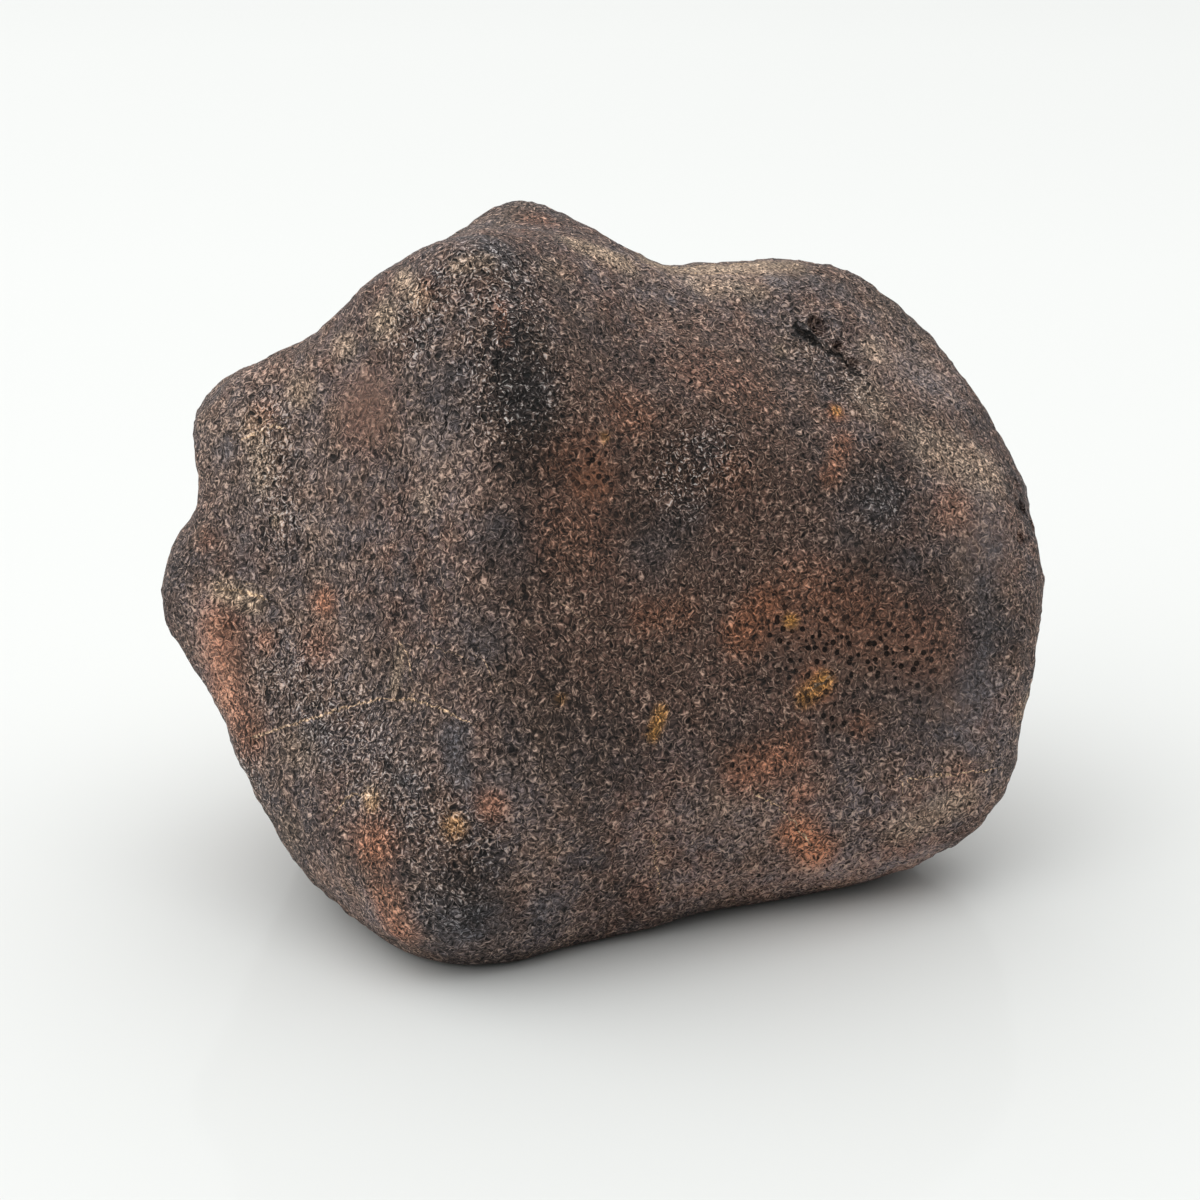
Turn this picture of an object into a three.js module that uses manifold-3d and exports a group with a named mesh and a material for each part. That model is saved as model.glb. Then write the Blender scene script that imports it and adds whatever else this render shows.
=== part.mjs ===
// A stony meteorite, an ordinary chondrite about 50 mm across, resting on its own worn base.
// It is one natural stone: a blunt chunk whose faces meet in rounded ridges, with shallow
// thumbprint hollows between them and a few deep pits. A keel runs down the show side from the
// peak to the near corner; the left face and the broad front face fall away to either side.
//
// The stone is shaped in its own show frame, in millimetres from its middle:
// X to the right, Y away from the viewer, Z up. It is then tipped back onto its base, and the
// origin is put under the middle of its box, on the surface that it rests on.
import * as THREE from "three";
import { ImprovedNoise } from "three/addons/math/ImprovedNoise.js";
import { mergeVertices } from "three/addons/utils/BufferGeometryUtils.js";
import Module from "manifold-3d";

const TIP_BACK = 22; // degrees from the show frame to the resting pose
const MIDDLE_HEIGHT = 14.8; // height of the stone's middle above the surface it rests on
const EDGE_SHARPNESS = 18; // higher gives crisper ridges between the faces
const SKIN_DETAIL = 17; // extra cuts along each edge of the icosahedron that becomes the skin
const PIT_DETAIL = 1;
const MERGE_DISTANCE = 1e-4;

const degrees = Math.PI / 180;

// Broad faces: turn is 0 towards the viewer and 90 to the right, lift is above the horizontal,
// and reach is how far from the middle the face lies.
const FACES = [
  { turn: 24, lift: -3, reach: 13.4 }, // broad front face
  { turn: 22, lift: -36, reach: 16.5 }, // band under the front face
  { turn: 34, lift: 31, reach: 16.6 }, // shoulder above the front face
  { turn: 66, lift: 14, reach: 24.0 }, // bevel between the front face and the right end
  { turn: -33, lift: 0, reach: 16.6 }, // left face
  { turn: -34, lift: -42, reach: 22.4 }, // under the left face
  { turn: -90, lift: 53, reach: 21.5 }, // slope from the peak to the ear
  { turn: -90, lift: 2, reach: 23.9 }, // left end
  { turn: -90, lift: -28, reach: 22.3 }, // left end, tucked under
  { turn: -74, lift: -48, reach: 23.8 }, // lower left corner
  { turn: 0, lift: 88, reach: 20.0 }, // top
  { turn: 90, lift: 44, reach: 24.6 }, // right shoulder
  { turn: 90, lift: 24, reach: 26.3 }, // right end, upper
  { turn: 90, lift: -11, reach: 24.9 }, // right end, lower
  { turn: 90, lift: -38, reach: 26.5 }, // lower right corner
  { turn: 180, lift: -68, reach: 15.3 }, // base
  { turn: 55, lift: -66, reach: 20.2 }, // base, rising to the right
  { turn: 176, lift: -2, reach: 17.3 }, // back
  { turn: -138, lift: 14, reach: 18.6 }, // back left
  { turn: -112, lift: -16, reach: 21.6 }, // back left corner, low
  { turn: 132, lift: -6, reach: 19.6 }, // back right
  { turn: 166, lift: 44, reach: 17.6 }, // back slope
  { turn: -150, lift: 50, reach: 19.4 }, // back slope below the peak
  { turn: -160, lift: -34, reach: 18.4 }, // under the back
  { turn: 146, lift: -42, reach: 18.8 }, // under the back right
];

// Knobs and ridges stand out, hollows and grooves go in. Each is centred on the skin in the
// direction of at, or runs from at to to, fades out over spread, and is rise high.
const RELIEF = [
  { at: [-5, -3, 22], spread: 4.1, rise: 2.9 }, // peak
  { at: [13, -1.5, 18.5], spread: 4, rise: 0.9 }, // right knob
  { at: [3, 1.5, 19.5], to: [8.5, 1, 19], spread: 4.6, rise: -1.2 }, // saddle between them
  { at: [4, -6, 17], to: [0, -13, 12], spread: 4.5, rise: -1.0 }, // trough running forward from it
  { at: [-14.5, -1, 16], to: [-10, 1, 18.5], spread: 4.5, rise: -2.1 }, // dip in the slope to the ear
  { at: [-8, -12, -17], spread: 6, rise: 1.4 }, // near corner
  { at: [-25, -4, 0], spread: 3.4, rise: 1.7 }, // left boss
  { at: [-23, -2, 6.5], spread: 2.4, rise: -1.3 }, // notch above it
  { at: [-21, -3, 12], spread: 4, rise: 1.6 }, // ear
  { at: [8, -13, -1], spread: 8, rise: -0.6 }, // thumbprint on the front face
  { at: [-16, -10, -4], spread: 6, rise: -0.6 }, // thumbprint on the left face
  { at: [10, 17, 7], spread: 5.5, rise: -1.5 }, // thumbprints on the back
  { at: [-6, 17, 3], spread: 6.5, rise: -1.7 },
  { at: [5, 16, -9], spread: 5, rise: -1.0 },
  { at: [-16, 12, 9], spread: 4.5, rise: -1.0 },
  { at: [-14, 12, -8], spread: 5, rise: -1.0 },
  { at: [19, 10, -2], spread: 5.5, rise: -1.3 }, // hollow at the back right
  { at: [0, 8, 20], to: [8, 12, 14], spread: 4, rise: -0.9 }, // trough over the back slope
];

// Gentle unevenness all over, from broad swells to the smallest lumps.
const SWELLS = [
  { length: 9, rise: 0.45 },
  { length: 4.5, rise: 0.25 },
  { length: 2.5, rise: 0.12 },
];

// Deep pits, each centred on the skin in the direction of at.
const PITS = [
  { at: [11.4, -4.5, 14.6], radius: 0.65 }, // pit below the right knob
  { at: [12.9, -4.6, 13.9], radius: 0.35 }, // and the furrow that trails from it
  { at: [13.8, -4.8, 13.1], radius: 0.3 },
  { at: [23.5, -1, 6.6], radius: 0.45 }, // pits down the right end
  { at: [23.8, -1.5, 5.4], radius: 0.55 },
  { at: [24.2, -0.6, 4.2], radius: 0.4 },
  { at: [24.3, -3.4, 3.6], radius: 0.35 },
  { at: [24.4, 2.5, 1], radius: 0.6 },
  { at: [12, 14, 3], radius: 0.7 }, // pits scattered over the back
  { at: [10, 15, 1], radius: 0.45 },
  { at: [-9, 15, -5], radius: 0.6 },
  { at: [-18, 9, 4], radius: 0.5 },
];

const noise = new ImprovedNoise();

// The unit vector that a turn and a lift point along.
function directionOf({ turn, lift }) {
  const level = Math.cos(lift * degrees);
  return new THREE.Vector3(
    Math.sin(turn * degrees) * level,
    -Math.cos(turn * degrees) * level,
    Math.sin(lift * degrees),
  );
}

const faces = FACES.map((face) => ({ normal: directionOf(face), reach: face.reach }));

// Distance from the middle to the blunt faceted body, along a unit direction.
function bodyDistance(direction) {
  let sum = 0;
  for (const { normal, reach } of faces) {
    const share = Math.max(0, direction.dot(normal)) / reach;
    sum += share ** EDGE_SHARPNESS;
  }
  return sum ** (-1 / EDGE_SHARPNESS);
}

// The point of the blunt body that lies in the direction of a rough point.
function onBody(point) {
  const direction = new THREE.Vector3(...point).normalize();
  return direction.multiplyScalar(bodyDistance(direction));
}

const relief = RELIEF.map(({ at, to, spread, rise }) => ({
  start: onBody(at),
  end: to && onBody(to),
  spread,
  rise,
}));

// How far the skin stands out of the blunt body at a point on it.
function riseAt(point) {
  let total = 0;
  for (const { start, end, spread, rise } of relief) {
    const nearest = start.clone();
    if (end) new THREE.Line3(start, end).closestPointToPoint(point, true, nearest);
    const away = nearest.distanceTo(point) / spread;
    total += rise * Math.exp(-away * away);
  }
  for (const { length, rise } of SWELLS)
    total += rise * noise.noise(point.x / length, point.y / length, point.z / length);
  return total;
}

// The skin's point along a unit direction.
function skinPoint(direction) {
  const distance = bodyDistance(direction);
  const point = direction.clone().multiplyScalar(distance);
  return point.setLength(distance + riseAt(point));
}

// A closed ball of triangles whose corners are shared.
function ballGeometry(radius, detail) {
  const ball = new THREE.IcosahedronGeometry(radius, detail);
  ball.deleteAttribute("normal");
  ball.deleteAttribute("uv");
  return mergeVertices(ball, MERGE_DISTANCE);
}

// From the show frame to the resting pose, with the middle at its height.
function tipBack(geometry) {
  geometry.rotateX(-TIP_BACK * degrees);
  geometry.translate(0, 0, MIDDLE_HEIGHT);
  return geometry;
}

function skinGeometry() {
  const skin = ballGeometry(1, SKIN_DETAIL);
  const position = skin.attributes.position;
  const direction = new THREE.Vector3();
  for (let i = 0; i < position.count; i++) {
    const point = skinPoint(direction.fromBufferAttribute(position, i).normalize());
    position.setXYZ(i, ...point);
  }
  tipBack(skin);
  // The base is worn flat where it touches the surface.
  for (let i = 0; i < position.count; i++) position.setZ(i, Math.max(0, position.getZ(i)));
  return skin;
}

function pitGeometry({ at, radius }) {
  const centre = skinPoint(new THREE.Vector3(...at).normalize());
  return tipBack(ballGeometry(radius, PIT_DETAIL).translate(...centre));
}

const wasm = await Module();
wasm.setup();

function toSolid(geometry) {
  const mesh = new wasm.Mesh({
    numProp: 3,
    vertProperties: new Float32Array(geometry.attributes.position.array),
    triVerts: new Uint32Array(geometry.index.array),
  });
  return new wasm.Manifold(mesh);
}

function toGeometry(solid) {
  const { vertProperties, triVerts } = solid.getMesh();
  const geometry = new THREE.BufferGeometry();
  geometry.setAttribute("position", new THREE.BufferAttribute(vertProperties, 3));
  geometry.setIndex(new THREE.BufferAttribute(triVerts, 1));
  return geometry;
}

function stoneGeometry() {
  let solid = toSolid(skinGeometry());
  for (const pit of PITS) solid = solid.subtract(toSolid(pitGeometry(pit)));
  const geometry = toGeometry(solid);
  geometry.computeBoundingBox();
  const middle = geometry.boundingBox.getCenter(new THREE.Vector3());
  geometry.translate(-middle.x, -middle.y, 0);
  geometry.computeVertexNormals();
  return geometry;
}

const stone = new THREE.Mesh(
  stoneGeometry(),
  new THREE.MeshStandardMaterial({ color: 0x4a3f3a, roughness: 0.75, metalness: 0 }),
);
stone.name = "stone";

const meteorite = new THREE.Group();
meteorite.add(stone);
export default meteorite;
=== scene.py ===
import math
from collections import namedtuple

import bpy
import numpy as np
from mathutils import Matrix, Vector
from mathutils.bvhtree import BVHTree


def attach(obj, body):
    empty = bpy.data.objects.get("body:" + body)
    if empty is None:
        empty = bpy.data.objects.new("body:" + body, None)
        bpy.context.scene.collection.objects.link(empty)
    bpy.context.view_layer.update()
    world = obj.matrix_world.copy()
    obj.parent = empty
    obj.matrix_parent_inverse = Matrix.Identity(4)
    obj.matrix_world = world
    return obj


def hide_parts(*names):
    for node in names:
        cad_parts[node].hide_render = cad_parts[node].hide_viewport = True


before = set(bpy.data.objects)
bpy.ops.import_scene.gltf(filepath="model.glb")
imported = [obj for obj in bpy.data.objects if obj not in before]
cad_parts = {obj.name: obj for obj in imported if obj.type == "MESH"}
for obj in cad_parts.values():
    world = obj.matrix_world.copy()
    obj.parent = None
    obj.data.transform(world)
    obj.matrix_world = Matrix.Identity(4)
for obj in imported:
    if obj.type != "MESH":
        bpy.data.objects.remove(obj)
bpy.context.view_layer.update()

MM = 0.001  # one millimetre in metres

# The view: the camera looks along +Y, down onto the stone's middle.
CAMERA_ELEVATION = math.radians(22)
CAMERA_DISTANCE = 170 * MM
SENSOR_WIDTH = 36  # this and the lens are in the camera's own millimetres
LENS = 90.3
STONE_MIDDLE = Vector((-0.06, 0.39, 14.8)) * MM
FRAME_OFFSET = Vector((-0.17, 0, 0)) * MM  # the stone stands a little right of the frame's centre

toward_camera = Vector((0, -math.cos(CAMERA_ELEVATION), math.sin(CAMERA_ELEVATION)))
camera_right = Vector((1, 0, 0))
camera_up = toward_camera.cross(camera_right)
camera_place = STONE_MIDDLE + FRAME_OFFSET + toward_camera * CAMERA_DISTANCE

TABLETOP_WIDTH = 6  # metres, so that its edges lie far out of the picture

# The stone's skin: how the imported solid's mesh is joined up and refined.
MERGE_DISTANCE = 0.001 * MM
REFINE_LEVELS = 2  # to about 0.24 mm between points

# Lumps pushed in and out of the skin: how far apart they lie and how deep they go.
Lumps = namedtuple("Lumps", "name spacing depth")
LUMPS = [
    Lumps("swells", 3.2 * MM, 0.42 * MM),
    Lumps("knobs", 1.3 * MM, 0.26 * MM),
    Lumps("grit", 0.5 * MM, 0.16 * MM),
]
FLAT_BASE = 0.3 * MM  # below this height the skin is left alone
FREE_SKIN = 1.6 * MM  # above this height it is roughened fully

# Marks on the side that shows, given as points in millimetres right of the stone's middle
# and above it, as the camera sees them. A mark is strongest along its points, and fades out
# over spread, which is also in millimetres.
Mark = namedtuple("Mark", "points spread strength")
SEEN = {
    "rust": [  # red-brown iron oxide
        Mark([(-0.7, 6.8)], 1.8, 0.8),
        Mark([(-1.6, 4.0)], 3.0, 0.4),
        Mark([(-0.7, 8.5), (-2.4, 7.9)], 1.6, 0.4),
        Mark([(1.5, 10.5)], 1.8, 0.35),
        Mark([(-15.8, -0.1)], 1.2, 0.75),
        Mark([(-16.1, -2.5)], 1.6, 0.45),
        Mark([(-21.5, -1.7), (-21.2, -5.1), (-20.2, -7.6)], 2.0, 0.6),
        Mark([(-19.1, -2.3)], 1.0, 0.5),
        Mark([(-12.9, -13.8)], 2.0, 0.85),
        Mark([(-12.3, -16.7), (-11.6, -18.6)], 1.6, 0.6),
        Mark([(-6.3, -11.6)], 1.1, 0.65),
        Mark([(2.4, -1.1), (4.5, -0.7)], 1.2, 0.45),
        Mark([(7.9, -2.0), (9.3, -0.3)], 1.7, 0.8),
        Mark([(11.1, 0.0), (18.5, -2.3)], 3.0, 0.5),
        Mark([(12.0, -4.8)], 1.5, 0.85),
        Mark([(11.1, -7.6)], 1.1, 0.45),
        Mark([(14.6, -7.1)], 1.0, 0.5),
        Mark([(8.0, -9.6), (10.3, -8.8)], 1.7, 0.65),
        Mark([(11.1, -11.0)], 1.2, 0.5),
        Mark([(10.8, -13.0), (12.1, -14.2)], 1.5, 0.9),
        Mark([(13.1, 10.6)], 0.7, 1),
        Mark([(13.7, 9.0), (12.8, 6.9)], 0.8, 0.6),
        Mark([(5.5, 13.0), (8.9, 11.6)], 1.9, 0.3),
        Mark([(7.2, 7.3)], 1.6, 0.25),
        Mark([(-5.8, 16.9), (-5.5, 14.4)], 0.4, 0.6),
        Mark([(-10.2, 17.5)], 0.9, 0.6),
        Mark([(-13.4, 10.5)], 3.0, 0.35),
        Mark([(-3.6, 21.4)], 1.5, 0.3),
        Mark([(-19.3, 10.2)], 1.2, 0.5),
        Mark([(-22.5, 3.4)], 0.9, 0.4),
        Mark([(19.6, 5.1)], 1.8, 0.35),
        Mark([(2.1, -16.4)], 1.4, 0.3),
        Mark([(20.2, -9.9)], 1.4, 0.3),
    ],
    "ochre": [  # yellow iron oxide, in specks
        Mark([(10.6, -1.2)], 0.5, 1),
        Mark([(12.5, -4.6), (11.4, -5.5)], 0.7, 0.8),
        Mark([(3.3, -6.3), (2.8, -7.6)], 0.5, 0.8),
        Mark([(-2.4, -5.6)], 0.4, 0.5),
        Mark([(-8.4, -12.8)], 0.9, 0.5),
        Mark([(-13.1, -11.3)], 0.7, 0.6),
        Mark([(13.2, 10.7)], 0.4, 0.8),
        Mark([(0.1, 9.2)], 0.3, 0.5),
    ],
    "buff": [  # pale clay dust
        Mark([(-1.6, 20.2), (1.2, 19.1)], 1.2, 0.8),
        Mark([(2.7, 19.1), (10.6, 18.9)], 1.2, 0.75),
        Mark([(5.5, 17.8), (8.4, 17.5)], 1.3, 0.45),
        Mark([(-12.3, 15.9)], 1.5, 0.8),
        Mark([(-11.4, 18.1), (-10.3, 16.9)], 0.9, 0.7),
        Mark([(-14.6, 14.4)], 1.2, 0.5),
        Mark([(-17.1, 11.8)], 1.2, 0.5),
        Mark([(-19.7, 9.9), (-19.3, 6.8)], 1.1, 0.55),
        Mark([(-18.5, 4.5)], 0.5, 0.8),
        Mark([(-21.5, 0.6), (-19.8, -0.1)], 0.9, 0.8),
        Mark([(-8.2, 18.9), (-6.6, 19.1)], 0.7, 0.65),
        Mark([(-13.1, -11.1)], 0.7, 0.7),
        Mark([(-11.5, -2.9), (-11.8, -5.1)], 0.5, 0.6),
        Mark([(15.1, 11.3)], 1.8, 0.5),
        Mark([(15.2, 14.1)], 1.2, 0.4),
        Mark([(10.0, 14.1)], 0.6, 0.5),
        Mark([(18.2, 9.0), (21.6, 7.3)], 2.2, 0.45),
        Mark([(-10.1, 5.6)], 1.0, 0.3),
        Mark([(-17.1, -8.6)], 1.6, 0.25),
        Mark([(-17.7, -13.0)], 1.4, 0.35),
        Mark([(17.1, -13.0), (20.2, -11.3)], 1.4, 0.4),
        Mark([(-2.7, 18.6)], 1.3, 0.35),
    ],
    "slate": [  # blue-grey crust that kept its glaze
        Mark([(-7.5, -18.4)], 3.0, 0.95),
        Mark([(-3.6, -17.8)], 2.0, 0.6),
        Mark([(-8.5, -7.6), (-8.2, -9.9)], 1.3, 0.85),
        Mark([(-16.0, -8.2)], 1.8, 0.6),
        Mark([(-11.4, -9.9)], 1.4, 0.5),
        Mark([(-5.8, -10.5)], 1.8, 0.4),
        Mark([(-6.7, -2.3)], 1.8, 0.5),
        Mark([(-5.8, 3.1)], 2.2, 0.5),
        Mark([(-4.4, 11.6)], 2.0, 0.8),
        Mark([(-5.8, 19.5), (-7.2, 20.1)], 1.5, 0.6),
        Mark([(-5.6, 16.9), (-5.4, 14.1)], 1.1, 0.5),
        Mark([(-20.5, 3.1), (-19.8, 0.8)], 1.2, 0.6),
        Mark([(-21.3, 8.5)], 1.0, 0.6),
        Mark([(-18.7, -1.0)], 0.7, 0.5),
        Mark([(15.6, 5.6)], 2.0, 0.7),
        Mark([(17.3, 2.3)], 1.4, 0.5),
        Mark([(21.4, 0.5)], 1.8, 0.6),
        Mark([(20.7, -7.6)], 2.6, 0.45),
        Mark([(21, -2), (21.5, -6)], 2.2, 0.6),
        Mark([(14.0, 4.0)], 1.9, 0.4),
        Mark([(4.9, 4.8), (2.7, 2.5)], 1.9, 0.4),
        Mark([(-14.9, 15.3)], 0.8, 0.4),
        Mark([(-9.2, 9.3), (-8.4, 12.1)], 1.8, 0.45),
        Mark([(3.8, 16.9)], 0.5, 0.6),
        Mark([(13.5, 17.4), (10.0, 18.1)], 1.1, 0.5),
        Mark([(18.2, 13.0)], 1.9, 0.45),
        Mark([(6.0, 8.5)], 1.4, 0.6),
        Mark([(22.4, 3.1)], 1.4, 0.5),
    ],
    "umber": [  # darker, browner crust over the front face; the darkness is partly painted shade of the face turned toward the camera
        Mark([(-1, 9), (8, 6)], 7, 0.9),
        Mark([(0, -1), (11, -2)], 8, 0.85),
        Mark([(4, -8), (11, -8)], 4, 0.35),
        Mark([(5, 15), (9, 13)], 3, 0.4),
    ],
    "smooth": [  # where the grain is worn down
        Mark([(-13.4, 11.0)], 2.6, 0.8),
        Mark([(21.6, 3.4)], 3.0, 0.7),
        Mark([(19.6, -5.6)], 3.0, 0.6),
        Mark([(-14.3, 5.6)], 2.6, 0.4),
        Mark([(2.7, 19.1), (10.6, 18.9)], 1.7, 0.5),
        Mark([(-0.7, 6.5)], 1.4, 0.5),
        Mark([(-21.4, -3.4)], 2.1, 0.5),
        Mark([(18.5, -11.3)], 1.9, 0.4),
    ],
    "crisp": [  # where the grain stands out, with painted glints on its crests
        Mark([(6.0, 8.5), (4.4, 6.6)], 2.4, 0.9),
        Mark([(-6, 18), (-5, 11)], 3.2, 0.8),
        Mark([(-11, 15), (-9, 18)], 2.2, 0.7),
        Mark([(-19, 10), (-18, 4)], 2.2, 0.6),
        Mark([(-18, -4), (-8, -14)], 3.4, 0.5),
        Mark([(12, 14.5), (14, 12)], 2.2, 0.5),
        Mark([(15.6, 5.6)], 2.4, 0.5),
        Mark([(-8.5, -17)], 2.6, 0.5),
    ],
    "pores": [  # where round pores lie close together
        Mark([(10.6, -2.3), (16.8, -3.4)], 3.4, 1),
        Mark([(12.8, -6.8)], 3.0, 0.9),
        Mark([(7.7, -9.0)], 2.0, 0.8),
        Mark([(-0.2, 7.9)], 2.3, 0.9),
        Mark([(1.5, 4.5)], 2.2, 0.6),
        Mark([(14.5, 2.3)], 2.0, 0.7),
        Mark([(23.6, 5.4)], 1.3, 0.8),
        Mark([(-2.4, 15.8)], 1.8, 0.4),
    ],
    "flow": [  # where the crust ran in upright streaks
        Mark([(-19, 9), (-18, -8)], 5.0, 0.9),
        Mark([(-14, 8), (-12, -10)], 4.5, 0.9),
        Mark([(-5.5, 6.8), (-4.7, -6.8)], 4.0, 1),
        Mark([(-11.5, 6.8), (-11.5, 0.0)], 3.6, 0.9),
        Mark([(-17.1, 2.3), (-15.4, -9.0)], 3.0, 0.6),
        Mark([(-5.5, 15.3)], 2.2, 0.7),
    ],
    "light": [  # paler, in stops; partly painted light: the left face lit from the left, the right edge lit by the tent's walls, and the band along the bottom edge lit by light thrown up from the tabletop
        Mark([(-19, 9), (-16, 4)], 8, 0.6),
        Mark([(-16, -2), (-15, -8)], 7, 0.35),
        Mark([(-10, 8), (-8, 6)], 3, 0.8),
        Mark([(-18.5, -0.5), (-18, -4.5)], 2.5, 0.7),
        Mark([(-15.5, 12.5)], 3, 0.8),
        Mark([(-14, 13), (-9, 17)], 5, 0.35),
        Mark([(0, 18.5), (3, 17.5)], 3, 0.6),
        Mark([(3, 18.4), (9, 18.4)], 2, 0.75),
        Mark([(3, 17), (14, 16)], 4, 0.4),
        Mark([(-22.6, -0.5), (-21.4, -6)], 1.8, 1.25),
        Mark([(18.5, 12.5), (16.5, 13.5)], 3.5, 1.0),
        Mark([(14.5, 9.5)], 2.5, 0.4),
        Mark([(20.5, 7), (22.5, 2)], 4, 0.75),
        Mark([(22, -7), (21, -10.5)], 4, 0.9),
        Mark([(4, -13), (18, -12)], 4.5, 0.9),
        Mark([(5, -16), (10, -15.8)], 2.5, 1.3),
        Mark([(12, -15.4), (18, -14.6)], 2.5, 2.0),
        Mark([(-5, -12), (-2, -18.5)], 3, 0.7),
        Mark([(-8, -19.5), (-3, -19)], 1.5, 0.6),
        Mark([(-15.4, -15.8), (-12, -18.5)], 2.5, 1.0),
    ],
    "dark": [  # darker, in stops; partly painted shade: in the hollow beside the keel, in the pit below the right knob and the furrow from it, and in the pits at the right end
        Mark([(-4.8, 14.5), (-4.2, 10), (-3.8, 8)], 2.2, 1.4),
        Mark([(11.4, 15.0), (11.8, 14.8)], 0.6, 1.6),
        Mark([(12.3, 14.5), (13.2, 14.0), (14.2, 12.9)], 0.36, 1.3),
        Mark([(22.9, 6.4)], 0.4, 2.2),
        Mark([(23.5, 5.2)], 0.5, 2.6),
        Mark([(24.1, 4.1)], 0.4, 2.0),
        Mark([(-4.4, 5), (-4, 2)], 2.5, 0.5),
        Mark([(-2, -6), (1, -8.5)], 3, 0.5),
        Mark([(15.6, 6.8)], 2.8, 0.75),
        Mark([(4.6, 7.2)], 2.2, 0.6),
        Mark([(-1, 3.8), (4.6, 4)], 2.2, 0.4),
        Mark([(15.5, 0.8), (22, -0.5)], 2.8, 0.45),
        Mark([(-7, -15.6)], 2.8, 0.7),
        Mark([(-15.4, -8.8)], 2, 0.35),
    ],
    "vein": [  # clay-filled hairlines, spread being half their width
        Mark([(-19.9, -7.8), (-17.1, -6.9), (-14.6, -6.1), (-12.9, -5.6), (-10.8, -5.6), (-9.2, -6.1),
              (-7.6, -6.9)], 0.07, 0.9),
        Mark([(-11.6, -2.3), (-11.2, -2.8), (-10.8, -4.5)], 0.07, 0.9),
        Mark([(-21.9, 0.6), (-20.5, 0.5), (-18.7, 0.0)], 0.09, 0.9),
        Mark([(2.9, -13.0), (3.2, -16.9)], 0.06, 0.6),
        Mark([(2.1, -15.4), (0.8, -16.4)], 0.06, 0.5),
        Mark([(8.3, -10.7), (10.3, -12.0), (12.0, -14.1)], 0.07, 0.7),
        Mark([(16.8, -10.1), (19.6, -9.9), (22.4, -9.5)], 0.07, 0.6),
        Mark([(16.9, -9.3), (16.9, -11.3)], 0.06, 0.5),
        Mark([(-9.8, -2.5), (-7.5, -3.4)], 0.06, 0.5),
        Mark([(-15.4, -12.4), (-14.3, -11.0), (-12.6, -11.0)], 0.08, 0.7),
        Mark([(2.1, 19.1), (5.5, 18.9), (8.9, 19.1)], 0.08, 0.8),
        Mark([(4.9, 18.5), (7.7, 18.4)], 0.06, 0.6),
        Mark([(11.7, -5.1), (13.1, -4.1)], 0.1, 0.7),
        Mark([(-6.9, -3.1), (-5.8, -5.1)], 0.06, 0.4),
        Mark([(-20.5, 9.0), (-18.5, 9.9), (-17.7, 9.5)], 0.08, 0.6),
        Mark([(-2.7, 0.0), (1.0, -2.3)], 0.05, 0.3),
    ],
    "crack": [  # open cracks and the mouth of the pit below the right knob, all darkened as painted shade
        Mark([(-8.6, 11.0), (-9.2, 8.8)], 0.07, 0.8),
        Mark([(-11.2, 5.6), (-11.5, 4.0)], 0.07, 0.7),
        Mark([(-4.7, 16.9), (-4.9, 14.7)], 0.06, 0.7),
        Mark([(11.0, 15.3), (11.5, 14.9), (12.1, 14.5)], 0.5, 1),
        Mark([(12.6, 14.1), (13.2, 13.9), (13.7, 13.4)], 0.14, 1),
        Mark([(14.0, 12.8), (14.6, 12.7)], 0.12, 0.9),
        Mark([(-5.8, 14.1), (-6.1, 11.3)], 0.06, 0.6),
        Mark([(-17.1, -15.8), (-15.4, -16.7)], 0.06, 0.4),
    ],
}
LINES = ("vein", "crack")  # drawn as lines, and all the others as patches
LINE_REACH = 0.6 * MM  # a line is known this far to either side of it
LINE_TAPER = (-0.3 * MM, 0.9 * MM)  # it widens this far from its tips, which 0.3 mm keeps open
PATCH_FADE = (0.15, 1.25)  # a patch fades between these, in spreads from its points

# Marks on the sides that don't show, strewn at random: each runs a few strides along the skin.
SEED = 7
TURN = 0.3  # how much a mark turns at each stride
UNSEEN_SLANT = -0.15  # cosine past which a place leans too far from the camera to show
Strewn = namedtuple("Strewn", "count strides stride spread strength")
UNSEEN = {
    "rust": Strewn(26, 2, 1.4, (0.8, 2.2), (0.3, 0.75)),
    "ochre": Strewn(9, 1, 0.8, (0.3, 0.7), (0.5, 0.9)),
    "buff": Strewn(24, 1, 2.4, (0.6, 1.8), (0.3, 0.75)),
    "slate": Strewn(24, 1, 2.5, (1.2, 3.0), (0.4, 0.9)),
    "umber": Strewn(7, 2, 3.0, (4.0, 7.0), (0.6, 1.0)),
    "smooth": Strewn(10, 1, 2.0, (1.5, 3.0), (0.4, 0.8)),
    "crisp": Strewn(12, 1, 2.5, (1.8, 3.2), (0.4, 0.9)),
    "pores": Strewn(9, 1, 2.5, (1.8, 3.4), (0.6, 1.0)),
    "flow": Strewn(7, 2, 3.0, (3.0, 5.0), (0.6, 0.95)),
    "light": Strewn(9, 2, 3.0, (3.0, 6.0), (0.3, 0.6)),
    "dark": Strewn(8, 2, 2.5, (2.0, 3.5), (0.3, 0.7)),
    "vein": Strewn(11, 4, 1.8, (0.06, 0.09), (0.5, 0.9)),
    "crack": Strewn(7, 1, 1.8, (0.06, 0.09), (0.5, 0.9)),
}

# Patterns in the crust, by how many lie side by side in a millimetre, from the sizes that the
# photograph shows. The real grain goes finer; this is the finest that shows, a pixel being 0.06 mm.
GRAINS = 6.5  # 0.15 mm across
PINHOLES = 3.7  # 0.27 mm apart
PINHOLE_EDGE = (0.3, 0.46)  # floor and lip, in spacings: 0.08 and 0.12 mm from the middle
ROUND_CURLS = 2.7  # 0.37 mm apart
LONG_CURLS = 3.9  # 0.26 mm apart, before they are drawn out
STREAK = (1.15, 1.15, 0.38)  # draws the long curls out upright
PORES = 2.0  # 0.5 mm apart
PORE_EDGE = (0.28, 0.34)  # floor and lip, in spacings: 0.14 and 0.17 mm from the middle
PATCHES = 0.55  # small changes of tone and the stains' ragged edges, 1.8 mm apart
TONES = 0.16  # broad changes of tone, 6 mm apart
BENDS = 2.4  # 0.42 mm apart
BEND = 0.45  # how far the other patterns are bent, in millimetres

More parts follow.
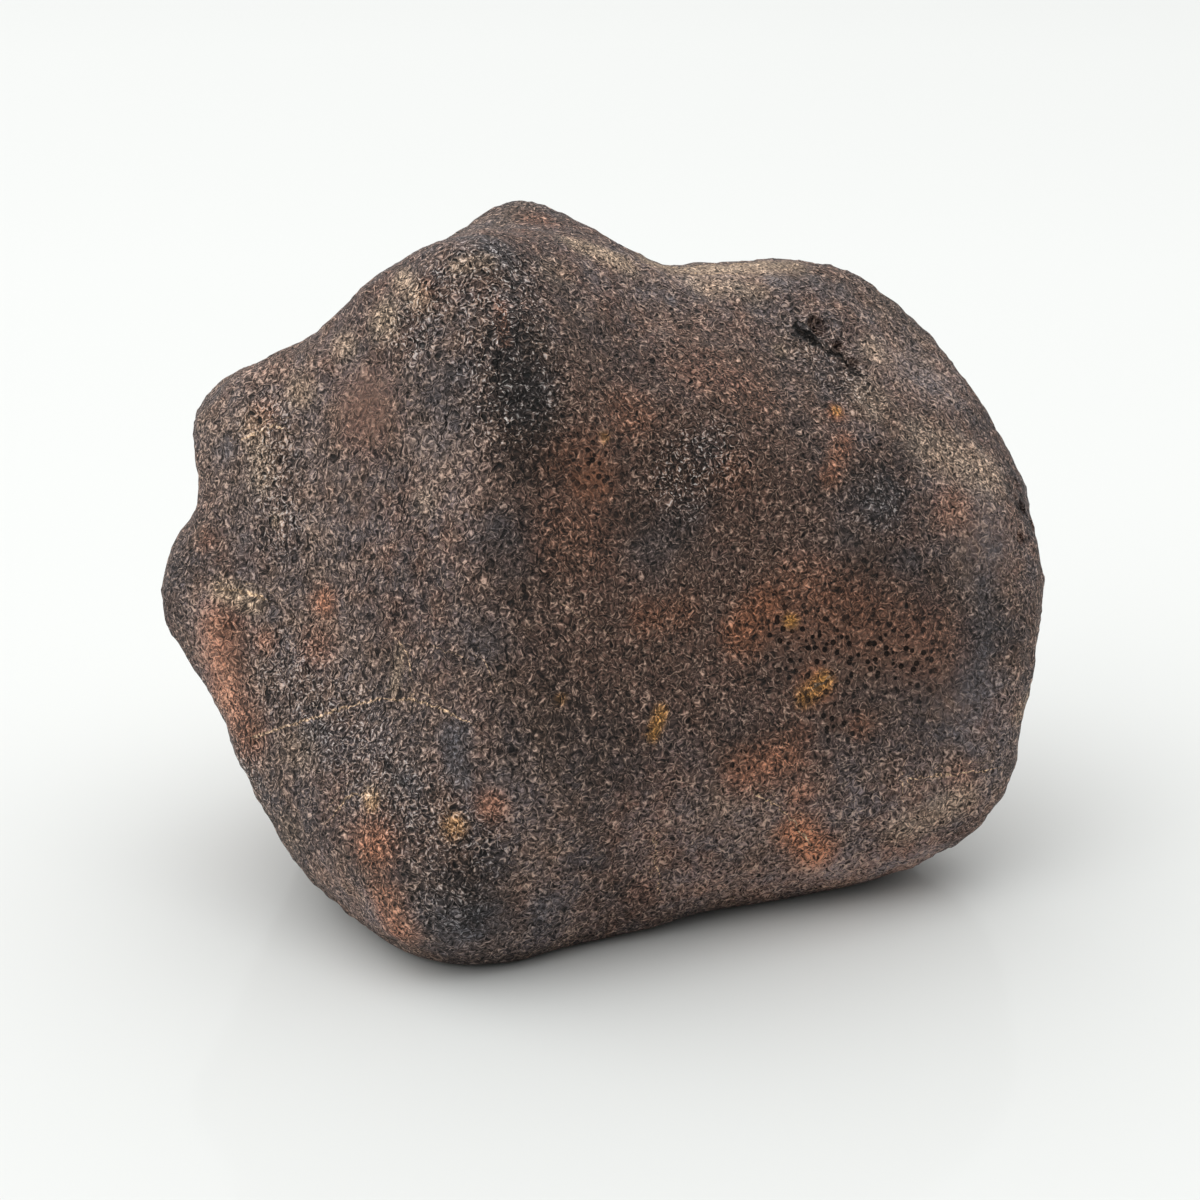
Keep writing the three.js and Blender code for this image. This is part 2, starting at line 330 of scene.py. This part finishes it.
RELIEF_MIDDLE = 5.05  # mean of the froth's relief, in stops
GREATEST_GAIN = 5.0  # most that a place is brightened
LEVEL_HEIGHT = 0.035  # bump for each stop, in millimetres
OPENING_DEPTH = 0.2  # bump of a pore or crack, in millimetres
STAINS = {"slate": "#464549", "rust": "#8A5A41", "ochre": "#C08A48", "buff": "#98836F"}  # lowest first


def linear(hex_colour):
    """An sRGB hex colour as linear RGBA."""
    channels = [int(hex_colour[i:i + 2], 16) / 255 for i in (1, 3, 5)]
    return [c / 12.92 if c <= 0.04045 else ((c + 0.055) / 1.055) ** 2.4 for c in channels] + [1]


def add(tree, kind, inputs=None, **settings):
    """Adds a node, sets its settings, and links or sets its inputs. A node stands for its first output."""
    node = tree.nodes.new(kind)
    for name, value in settings.items():
        setattr(node, name, value)
    for name, value in (inputs or {}).items():
        if isinstance(value, bpy.types.Node):
            value = value.outputs[0]
        if isinstance(value, bpy.types.NodeSocket):
            tree.links.new(value, node.inputs[name])
        else:
            node.inputs[name].default_value = value
    return node


def make_camera():
    data = bpy.data.cameras.new("view")
    data.sensor_width = SENSOR_WIDTH
    data.lens = LENS
    data.clip_start = CAMERA_DISTANCE / 10
    data.clip_end = 10
    camera = bpy.data.objects.new("view", data)
    camera.location = camera_place
    camera.rotation_euler = (-toward_camera).to_track_quat("-Z", "Y").to_euler()
    bpy.context.scene.collection.objects.link(camera)
    bpy.context.scene.camera = camera


def light_tent():
    """White all round and brighter overhead, but for the dark opening the camera looks in through."""
    world = bpy.data.worlds.new("light_tent")
    bpy.context.scene.world = world
    world.use_nodes = True
    tree = world.node_tree
    tree.nodes.clear()
    opening = Vector((0.3, -0.9, 0.32)).normalized()
    overhead = Vector((-0.24, 0.1, 0.96)).normalized()
    direction = add(tree, "ShaderNodeTexCoord").outputs["Generated"]
    facing = add(tree, "ShaderNodeVectorMath", {0: direction, 1: opening}, operation="DOT_PRODUCT")
    walls = add(tree, "ShaderNodeMapRange", {
        "Value": facing.outputs["Value"], "From Min": 0.4, "From Max": 0.95, "To Min": 1, "To Max": 0.15,
    }, interpolation_type="SMOOTHSTEP")
    height = add(tree, "ShaderNodeVectorMath", {0: direction, 1: overhead}, operation="DOT_PRODUCT")
    roof = add(tree, "ShaderNodeMapRange", {
        "Value": height.outputs["Value"], "From Min": 0.05, "From Max": 0.9, "To Min": 0.48, "To Max": 1.88,
    }, interpolation_type="SMOOTHSTEP")
    brightness = add(tree, "ShaderNodeMath", {0: walls, 1: roof}, operation="MULTIPLY")
    background = add(tree, "ShaderNodeBackground", {"Color": linear("#FDFEFD"), "Strength": brightness})
    add(tree, "ShaderNodeOutputWorld", {"Surface": background})


def white_tabletop():
    """Glossy white acrylic: it throws light back up and mirrors the stone faintly."""
    bpy.ops.object.select_all(action="DESELECT")
    bpy.ops.mesh.primitive_plane_add(size=TABLETOP_WIDTH, location=(0, 0, 0))
    top = bpy.context.object
    top.name = "tabletop"
    material = bpy.data.materials.new("gloss_white_acrylic")
    material.use_nodes = True
    shader = material.node_tree.nodes["Principled BSDF"]
    shader.inputs["Base Color"].default_value = linear("#E4E5E4")
    shader.inputs["Roughness"].default_value = 0.08
    shader.inputs["IOR"].default_value = 1.12  # below acrylic's own, for a mirror image this faint
    top.data.materials.append(material)


def stone_from_node():
    """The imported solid's mesh, joined up and refined."""
    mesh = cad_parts["stone"].data.copy()
    mesh.materials.clear()
    stone = bpy.data.objects.new("crusted_stone", mesh)
    bpy.context.scene.collection.objects.link(stone)
    bpy.ops.object.select_all(action="DESELECT")
    stone.select_set(True)
    bpy.context.view_layer.objects.active = stone
    bpy.ops.object.mode_set(mode="EDIT")
    bpy.ops.mesh.select_all(action="SELECT")
    bpy.ops.mesh.remove_doubles(threshold=MERGE_DISTANCE)
    bpy.ops.object.mode_set(mode="OBJECT")
    refine = stone.modifiers.new("refine", "SUBSURF")
    refine.levels = REFINE_LEVELS
    refine.render_levels = REFINE_LEVELS
    bpy.ops.object.modifier_apply(modifier=refine.name)
    bpy.ops.object.shade_smooth()
    return stone


def read_points(stone, what="co"):
    """Each vertex's place, or its normal, as rows of x, y and z."""
    values = np.empty(3 * len(stone.data.vertices))
    stone.data.vertices.foreach_get(what, values)
    return values.reshape(-1, 3)


def ramp(values, low, high):
    """0 below low, 1 above high, and eased between them."""
    share = np.clip((values - low) / (high - low), 0, 1)
    return share * share * (3 - 2 * share)


def roughen(stone):
    """Lumps at each scale, fading out at the base, which stays flat."""
    free_skin = stone.vertex_groups.new(name="free_skin")
    heights = read_points(stone)[:, 2]
    for index, weight in enumerate(ramp(heights, FLAT_BASE, FREE_SKIN)):
        free_skin.add([index], float(weight), "REPLACE")
    for lumps in LUMPS:
        texture = bpy.data.textures.new(lumps.name, "CLOUDS")
        texture.noise_scale = lumps.spacing
        texture.noise_depth = 1
        push = stone.modifiers.new(lumps.name, "DISPLACE")
        push.texture = texture
        push.texture_coords = "LOCAL"
        push.strength = lumps.depth
        push.mid_level = 0.5
        push.vertex_group = "free_skin"
        bpy.ops.object.modifier_apply(modifier=push.name)
    points = read_points(stone)
    points[:, 2] = np.maximum(points[:, 2], 0)
    stone.data.vertices.foreach_set("co", points.ravel())
    stone.data.update()


def skin_of(stone):
    """The stone's skin, for finding places on it."""
    return BVHTree.FromPolygons(
        [vertex.co for vertex in stone.data.vertices],
        [tuple(polygon.vertices) for polygon in stone.data.polygons],
    )


def traced(mark, skin):
    """A mark with its points moved onto the skin that the camera sees, or nearest it past the outline."""
    route = []
    for right, up in mark.points:
        aim = STONE_MIDDLE + (camera_right * right + camera_up * up) * MM
        hit = skin.ray_cast(camera_place, (aim - camera_place).normalized())[0]
        route.append(np.array(hit or skin.find_nearest(aim)[0]))
    return Mark(route, mark.spread, mark.strength)


def strewn(strew, skin, unseen, random):
    """Marks that wander along the skin from places the camera doesn't see."""
    marks = []
    for _ in range(strew.count):
        place = unseen[random.integers(len(unseen))]
        heading = random.normal(size=3)
        route = [place]
        for _ in range(strew.strides):
            heading = heading / np.linalg.norm(heading) + random.normal(size=3) * TURN
            place = np.array(skin.find_nearest(Vector(place + heading * strew.stride * MM))[0])
            route.append(place)
        marks.append(Mark(route, random.uniform(*strew.spread), random.uniform(*strew.strength)))
    return marks


def unseen_places(stone):
    """The places on the skin that face away from the camera."""
    points = read_points(stone)
    sight = np.array(camera_place) - points
    facing = np.einsum("ij,ij->i", sight, read_points(stone, "normal")) / np.linalg.norm(sight, axis=1)
    return points[facing < UNSEEN_SLANT]


def write_attribute(stone, name, values):
    attribute = stone.data.attributes.new(name, "FLOAT", "POINT")
    attribute.data.foreach_set("value", values.astype(np.float32))


def nearest_on_line(points, start, end):
    """The nearest place to each point on the straight line from start to end."""
    run = end - start
    length = max(run @ run, 1e-18)
    share = np.clip((points - start) @ run / length, 0, 1)
    return start + share[:, None] * run


def paint_patches(stone, name, marks):
    """Writes how strongly each vertex is marked."""
    points = read_points(stone)
    strength = np.zeros(len(points))
    for mark in marks:
        route = mark.points
        away = np.full(len(points), np.inf)
        for start, end in zip(route, route[1:] or route):
            away = np.minimum(away, np.linalg.norm(points - nearest_on_line(points, start, end), axis=1))
        fade = ramp(away / (mark.spread * MM), *PATCH_FADE)
        strength = np.maximum(strength, mark.strength * (1 - fade))
    write_attribute(stone, name, strength)


def draw_lines(stone, name, lines):
    """Writes each vertex's offset from the nearest line, left or right of it, and half its width."""
    points = read_points(stone)
    outward = read_points(stone, "normal")
    offset = np.full(len(points), LINE_REACH)
    width = np.zeros(len(points))
    for line in lines:
        route = line.points
        ends = (route[0], route[-1])
        for start, end in zip(route, route[1:]):
            apart = points - nearest_on_line(points, start, end)
            away = np.linalg.norm(apart, axis=1)
            side = np.sign(np.einsum("ij,ij->i", np.cross(end - start, outward), apart))
            closer = away < np.abs(offset)
            offset[closer] = (side * away)[closer]
            to_end = np.minimum(*(np.linalg.norm(points - tip, axis=1) for tip in ends))
            taper = ramp(to_end, *LINE_TAPER) * (1 - ramp(away, 0.6 * LINE_REACH, LINE_REACH))
            width[closer] = (line.spread * line.strength * taper)[closer]
    write_attribute(stone, name + "_offset", offset / MM)
    write_attribute(stone, name + "_width", width)


def patches_and_lines(tree):
    """The marks written on the skin, by name. A line also has its offset and its half width."""
    names = [name for name in SEEN if name not in LINES]
    names += [line + part for line in LINES for part in ("_offset", "_width")]
    return {name: add(tree, "ShaderNodeAttribute", attribute_name=name).outputs["Fac"] for name in names}


def froth(tree, here, marks):
    """Froth frozen in the crust: how deep its pinholes are, and where its torn walls and grain lie."""
    cells = add(tree, "ShaderNodeTexVoronoi", {"Vector": here, "Scale": PINHOLES})
    # Chance makes each pinhole smaller, down to none.
    chance = add(tree, "ShaderNodeSeparateXYZ", {0: cells.outputs["Color"]})
    shallow = add(tree, "ShaderNodeMath", {0: chance, 1: 0.4, 2: cells}, operation="MULTIPLY_ADD")
    pinholes = add(tree, "ShaderNodeMapRange", {
        "Value": shallow, "From Min": PINHOLE_EDGE[0], "From Max": PINHOLE_EDGE[1], "To Min": 1, "To Max": 0,
    })
    # Where the crust ran, most pinholes give way to upright slits.
    left_round = add(tree, "ShaderNodeMath", {0: marks["flow"], 1: -0.75, 2: 1}, operation="MULTIPLY_ADD")
    pinholes = add(tree, "ShaderNodeMath", {0: pinholes, 1: left_round}, operation="MULTIPLY")
    streaked = add(tree, "ShaderNodeMapping", {"Vector": here, "Scale": STREAK})
    long_curls = add(tree, "ShaderNodeTexNoise", {"Vector": streaked, "Scale": LONG_CURLS, "Detail": 0})
    slits = add(tree, "ShaderNodeMapRange", {
        "Value": long_curls, "From Min": 0.27, "From Max": 0.34, "To Min": 1, "To Max": 0,
    })
    slits = add(tree, "ShaderNodeMath", {0: slits, 1: marks["flow"]}, operation="MULTIPLY")
    pinholes = add(tree, "ShaderNodeMath", {0: pinholes, 1: slits}, operation="MAXIMUM")

    # The torn walls are curls about 0.08 mm wide, along the noise's middle value.
    round_curls = add(tree, "ShaderNodeTexNoise", {"Vector": here, "Scale": ROUND_CURLS, "Detail": 0})
    curls = add(tree, "ShaderNodeMix", {0: marks["flow"], 2: round_curls, 3: long_curls})
    centred = add(tree, "ShaderNodeMath", {0: curls, 1: 0.5}, operation="SUBTRACT")
    folded = add(tree, "ShaderNodeMath", {0: centred}, operation="ABSOLUTE")
    rims = add(tree, "ShaderNodeMapRange", {
        "Value": folded, "From Min": 0, "From Max": 0.07, "To Min": 1, "To Max": 0,
    })
    grain = add(tree, "ShaderNodeTexNoise", {"Vector": here, "Scale": GRAINS, "Detail": 1, "Roughness": 0.6})
    return pinholes, cells, centred, rims, grain


def round_pores(tree, straight, marks):
    """Round pores where they are marked: 1 in a pore and 0 outside it."""
    cells = add(tree, "ShaderNodeTexVoronoi", {"Vector": straight, "Scale": PORES})
    pores = add(tree, "ShaderNodeMapRange", {
        "Value": cells, "From Min": PORE_EDGE[0], "From Max": PORE_EDGE[1], "To Min": 1, "To Max": 0,
    })
    return add(tree, "ShaderNodeMath", {0: pores, 1: marks["pores"]}, operation="MULTIPLY")


def hairlines(tree, name, centred, marks):
    """The veins or cracks, wobbling with the curls: 1 on a line and 0 off it."""
    offset = add(tree, "ShaderNodeMath", {0: centred, 1: 0.5, 2: marks[name + "_offset"]},
                 operation="MULTIPLY_ADD")
    away = add(tree, "ShaderNodeMath", {0: offset}, operation="ABSOLUTE")
    half_width = add(tree, "ShaderNodeMath", {0: marks[name + "_width"], 1: 0.001}, operation="ADD")
    share = add(tree, "ShaderNodeMath", {0: away, 1: half_width}, operation="DIVIDE")
    return add(tree, "ShaderNodeMapRange", {
        "Value": share, "From Min": 0.6, "From Max": 1.4, "To Min": 1, "To Max": 0,
    })


def weathered_fusion_crust():
    """A chondrite's fusion crust, weathered: matt, granular and pinholed, stained by iron oxide."""
    material = bpy.data.materials.new("weathered_fusion_crust")
    material.use_nodes = True
    tree = material.node_tree
    shader = tree.nodes["Principled BSDF"]
    marks = patches_and_lines(tree)

    # Places in millimetres: straight, and bent a little so that no pattern runs straight.
    metres = add(tree, "ShaderNodeTexCoord").outputs["Object"]
    straight = add(tree, "ShaderNodeMapping", {"Vector": metres, "Scale": (1 / MM, 1 / MM, 1 / MM)})
    bend = add(tree, "ShaderNodeTexNoise", {"Vector": straight, "Scale": BENDS, "Detail": 0})
    here = add(tree, "ShaderNodeVectorMath", {0: bend.outputs["Color"], 1: (BEND, BEND, BEND), 2: straight},
               operation="MULTIPLY_ADD")

    pinholes, cells, centred, rims, grain = froth(tree, here, marks)
    pores = round_pores(tree, straight, marks)
    veins, cracks = (hairlines(tree, name, centred, marks) for name in LINES)
    openings = add(tree, "ShaderNodeMath", {0: pores, 1: cracks}, operation="MAXIMUM")

    # Colour, in coats: the bare crust with its changes of tone, umber crust darkened partly as painted shade
    # over the front face, dust and painted highlight on the rims, stains with ragged edges, clay in the
    # veins, and painted grey glints on the crests where the crust is crisp.
    broad = add(tree, "ShaderNodeTexNoise", {"Vector": straight, "Scale": TONES, "Detail": 3})
    patchy = add(tree, "ShaderNodeTexNoise", {
        "Vector": here, "Scale": PATCHES, "Detail": 4, "Roughness": 0.6,
    })
    broad_share = add(tree, "ShaderNodeMapRange", {"Value": broad, "From Min": 0.38, "From Max": 0.62})
    patch_share = add(tree, "ShaderNodeMapRange", {"Value": patchy, "From Min": 0.36, "From Max": 0.64})
    # Pale tan on the rims: partly dust, partly a painted highlight.
    rim_dust_and_highlight = add(tree, "ShaderNodeMath", {0: rims, 1: 0.4}, operation="MULTIPLY")
    ragged = add(tree, "ShaderNodeMath", {0: patchy, 1: grain}, operation="ADD")
    ragged = add(tree, "ShaderNodeMapRange", {
        "Value": ragged, "From Min": 0.5, "From Max": 1.4, "To Min": 0.35, "To Max": 1.15,
    })
    clay = add(tree, "ShaderNodeMapRange", {"Value": grain, "From Min": 0.1, "From Max": 0.5})
    clay = add(tree, "ShaderNodeMath", {0: clay, 1: veins}, operation="MULTIPLY")
    # Painted glints: grey specks on the grain's crests where the crust is crisp.
    painted_glints = add(tree, "ShaderNodeMapRange", {"Value": grain, "From Min": 0.6, "From Max": 0.68})
    painted_glints = add(tree, "ShaderNodeMath", {0: painted_glints, 1: marks["crisp"]}, operation="MULTIPLY")
    coats = [
        (broad_share, "#624B42"), (patch_share, "#504747"), (marks["umber"], "#5B443A"),
        (rim_dust_and_highlight, "#8E7A6C"),
    ]
    for name, hex_colour in STAINS.items():
        share = add(tree, "ShaderNodeMath", {0: marks[name], 1: ragged}, operation="MULTIPLY",
                    use_clamp=True)
        coats.append((share, hex_colour))
    coats += [(clay, "#A0866E"), (painted_glints, "#7F7B78")]
    colour = linear("#625148")
    for share, hex_colour in coats:
        colour = add(tree, "ShaderNodeMix", {0: share, 6: colour, 7: linear(hex_colour)},
                     data_type="RGBA").outputs[2]

    # Light and dark, in stops: painted shade darkens the pinholes and the hollows, and the rims are painted
    # pale as if lit from above, more so on crisp crust and less so where it is worn smooth. Openings are
    # painted nearly black, as shade in pores and cracks.
    level = -RELIEF_MIDDLE
    for part, rise in ((pinholes, -2.4), (cells, 1.4), (rims, 1.3), (grain, 8.5)):
        level = add(tree, "ShaderNodeMath", {0: part, 1: rise, 2: level}, operation="MULTIPLY_ADD")
    contrast = 1
    for name, change in (("smooth", -0.8), ("crisp", 0.7), ("pores", -0.35)):
        contrast = add(tree, "ShaderNodeMath", {0: marks[name], 1: change, 2: contrast},
                       operation="MULTIPLY_ADD")
    level = add(tree, "ShaderNodeMath", {0: level, 1: contrast}, operation="MULTIPLY")
    stops = level
    # Paler and darker marks, partly painted light and shade, and painted shade in the openings.
    for part, change in ((marks["light"], 1), (marks["dark"], -1), (openings, -3.4)):
        stops = add(tree, "ShaderNodeMath", {0: part, 1: change, 2: stops}, operation="MULTIPLY_ADD")
    gain = add(tree, "ShaderNodeMath", {0: 2.0, 1: stops}, operation="POWER")
    gain = add(tree, "ShaderNodeMath", {0: gain, 1: GREATEST_GAIN}, operation="MINIMUM")
    colour = add(tree, "ShaderNodeVectorMath", {0: colour, "Scale": gain}, operation="SCALE")
    tree.links.new(colour.outputs[0], shader.inputs["Base Color"])

    # The slate crust keeps a dull glaze; rust and clay are powdery, and no opening shines.
    glaze = add(tree, "ShaderNodeMapRange", {"Value": marks["slate"], "To Min": 0.65, "To Max": 0.45})
    glaze = add(tree, "ShaderNodeMath", {0: openings, 1: glaze}, operation="MAXIMUM")
    tree.links.new(glaze.outputs[0], shader.inputs["Roughness"])
    shader.inputs["IOR"].default_value = 1.5
    shader.inputs["Specular IOR Level"].default_value = 0.3  # the froth traps part of the shine

    # The same relief as a bump, in millimetres.
    height = add(tree, "ShaderNodeMath", {0: level, 1: LEVEL_HEIGHT}, operation="MULTIPLY")
    height = add(tree, "ShaderNodeMath", {0: openings, 1: -OPENING_DEPTH, 2: height},
                 operation="MULTIPLY_ADD")
    bump = add(tree, "ShaderNodeBump", {"Height": height, "Strength": 1, "Distance": MM})
    tree.links.new(bump.outputs[0], shader.inputs["Normal"])
    return material


make_camera()
light_tent()
white_tabletop()
stone = stone_from_node()
roughen(stone)
skin = skin_of(stone)
unseen = unseen_places(stone)
random = np.random.default_rng(SEED)
for name, marks in SEEN.items():
    on_skin = [traced(mark, skin) for mark in marks]
    on_skin += strewn(UNSEEN[name], skin, unseen, random)
    if name in LINES:
        draw_lines(stone, name, on_skin)
    else:
        paint_patches(stone, name, on_skin)
stone.data.materials.append(weathered_fusion_crust())
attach(stone, "root")
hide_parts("stone")
bpy.context.scene.view_settings.view_transform = "Standard"
